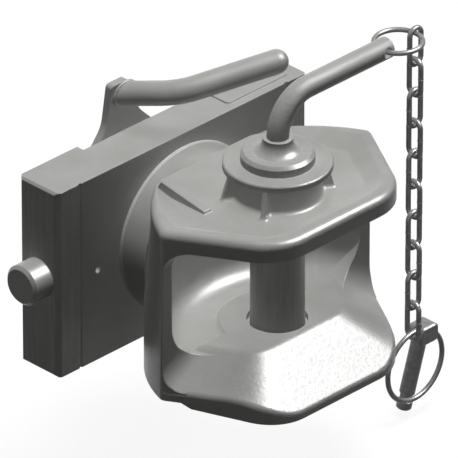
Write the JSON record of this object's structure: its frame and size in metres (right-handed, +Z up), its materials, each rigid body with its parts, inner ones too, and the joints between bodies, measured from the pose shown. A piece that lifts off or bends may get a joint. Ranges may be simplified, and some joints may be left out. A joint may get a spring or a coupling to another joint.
{
  "type": "manual pin coupling",
  "caption": "Tractor trailer coupling: a swivelling cast jaw with a hand-lifted pin, chained linch pin and a lever-locked slide block.",
  "frame": {"origin": "on the jaw's swivel axis, in the front face of the slide block", "axes": "+Z up along the guide rails, +X to the right as seen when looking into the jaw's mouth from behind the tractor, the mouth faces -Y"},
  "size_m": [0.3884, 0.2844, 0.3972],
  "materials": {
    "casting": "cast steel, satin grey",
    "slide_steel": "satin grey",
    "steel": "turned steel, satin",
    "zinc": "zinc plated, satin",
    "spring_steel": "oiled spring wire",
    "bronze": "plain bronze bush"
  },
  "bodies": {
    "block": {"slide_block": "slide_steel", "trunnion_bush": "bronze", "thrust_ring": "zinc", "lock_spring_left": "spring_steel", "lock_spring_right": "spring_steel"},
    "jaw": {"jaw": "casting", "upper_bush": "steel", "lower_bush": "steel", "rear_washer": "steel", "trunnion_nut": "steel", "nut_split_pin": "zinc"},
    "lever": {"lever_plate": "slide_steel", "lever_tube": "slide_steel"},
    "lock_bolt_left": {"lock_bolt_left": "steel", "lock_peg_left": "steel"},
    "lock_bolt_right": {"lock_bolt_right": "steel", "lock_peg_right": "steel"},
    "main_pin": {"main_pin": "steel", "pin_handle": "steel"},
    "handle_ring": {"handle_ring": "zinc"},
    "chain_link_01": {"chain_link_01": "zinc"},
    "chain_link_02": {"chain_link_02": "zinc"},
    "chain_link_03": {"chain_link_03": "zinc"},
    "chain_link_04": {"chain_link_04": "zinc"},
    "chain_link_05": {"chain_link_05": "zinc"},
    "chain_link_06": {"chain_link_06": "zinc"},
    "chain_link_07": {"chain_link_07": "zinc"},
    "chain_link_08": {"chain_link_08": "zinc"},
    "chain_link_09": {"chain_link_09": "zinc"},
    "chain_link_10": {"chain_link_10": "zinc"},
    "linch_ring": {"linch_ring": "zinc"},
    "linch_pin": {"linch_pin": "zinc"}
  },
  "joints": [
    {"name": "jaw_swivel", "type": "hinge", "parent": "block", "child": "jaw", "pos_m": [0, 0, 0], "axis": [0, 1, 0], "continuous": true},
    {"name": "pin_lift", "type": "slide", "parent": "jaw", "child": "main_pin", "axis": [0, 0, 1], "range_m": [0, 0.195]},
    {"name": "ring_swing", "type": "hinge", "parent": "main_pin", "child": "handle_ring", "pos_m": [0.1282, -0.1164, 0.172], "axis": [0, 1, 0], "range_deg": [-60, 7]},
    {"name": "chain_swing_01", "type": "hinge", "parent": "handle_ring", "child": "chain_link_01", "pos_m": [0.1712, -0.1164, 0.172], "axis": [0, 1, 0], "range_deg": [-30, 7]},
    {"name": "chain_swing_02", "type": "hinge", "parent": "chain_link_01", "child": "chain_link_02", "pos_m": [0.1712, -0.1164, 0.1409], "axis": [1, 0, 0], "range_deg": [-30, 30]},
    {"name": "chain_swing_03", "type": "hinge", "parent": "chain_link_02", "child": "chain_link_03", "pos_m": [0.1712, -0.1164, 0.1099], "axis": [0, 1, 0], "range_deg": [-30, 9]},
    {"name": "chain_swing_04", "type": "hinge", "parent": "chain_link_03", "child": "chain_link_04", "pos_m": [0.1712, -0.1164, 0.0789], "axis": [1, 0, 0], "range_deg": [-30, 30]},
    {"name": "chain_swing_05", "type": "hinge", "parent": "chain_link_04", "child": "chain_link_05", "pos_m": [0.1712, -0.1164, 0.0479], "axis": [0, 1, 0], "range_deg": [-30, 13]},
    {"name": "chain_swing_06", "type": "hinge", "parent": "chain_link_05", "child": "chain_link_06", "pos_m": [0.1712, -0.1164, 0.0169], "axis": [1, 0, 0], "range_deg": [-30, 30]},
    {"name": "chain_swing_07", "type": "hinge", "parent": "chain_link_06", "child": "chain_link_07", "pos_m": [0.1712, -0.1164, -0.0141], "axis": [0, 1, 0], "range_deg": [-30, 25]},
    {"name": "chain_swing_08", "type": "hinge", "parent": "chain_link_07", "child": "chain_link_08", "pos_m": [0.1712, -0.1164, -0.0451], "axis": [1, 0, 0], "range_deg": [-30, 30]},
    {"name": "chain_swing_09", "type": "hinge", "parent": "chain_link_08", "child": "chain_link_09", "pos_m": [0.1712, -0.1164, -0.0761], "axis": [0, 1, 0], "range_deg": [-30, 30]},
    {"name": "chain_swing_10", "type": "hinge", "parent": "chain_link_09", "child": "chain_link_10", "pos_m": [0.1712, -0.1164, -0.1071], "axis": [1, 0, 0], "range_deg": [-30, 30]},
    {"name": "linch_ring_swing", "type": "hinge", "parent": "chain_link_10", "child": "linch_ring", "pos_m": [0.1712, -0.1164, -0.1381], "axis": [0, 1, 0], "range_deg": [-12, 60]},
    {"name": "linch_pin_swing", "type": "hinge", "parent": "linch_ring", "child": "linch_pin", "pos_m": [0.18661, -0.1164, -0.13641], "axis": [0.9275, 0, -0.3739], "range_deg": [0, 90]},
    {"name": "lever_turn", "type": "hinge", "parent": "block", "child": "lever", "pos_m": [0, 0, 0], "axis": [0, 1, 0], "range_deg": [0, 38], "stiffness_Nm_per_rad": 6.6, "springref_deg": -34.38},
    {"name": "lock_slide_left", "type": "slide", "parent": "block", "child": "lock_bolt_left", "axis": [1, 0, 0], "range_m": [0, 0.022], "deforming": ["lock_spring_left"]},
    {"name": "lock_slide_right", "type": "slide", "parent": "block", "child": "lock_bolt_right", "axis": [-1, 0, 0], "range_m": [0, 0.022], "deforming": ["lock_spring_right"]}
  ],
  "couplings": [
    {"joint": "lock_slide_left", "follows": "lever_turn", "m_per_rad": 0.033171},
    {"joint": "lock_slide_right", "follows": "lever_turn", "m_per_rad": 0.033171}
  ]
}
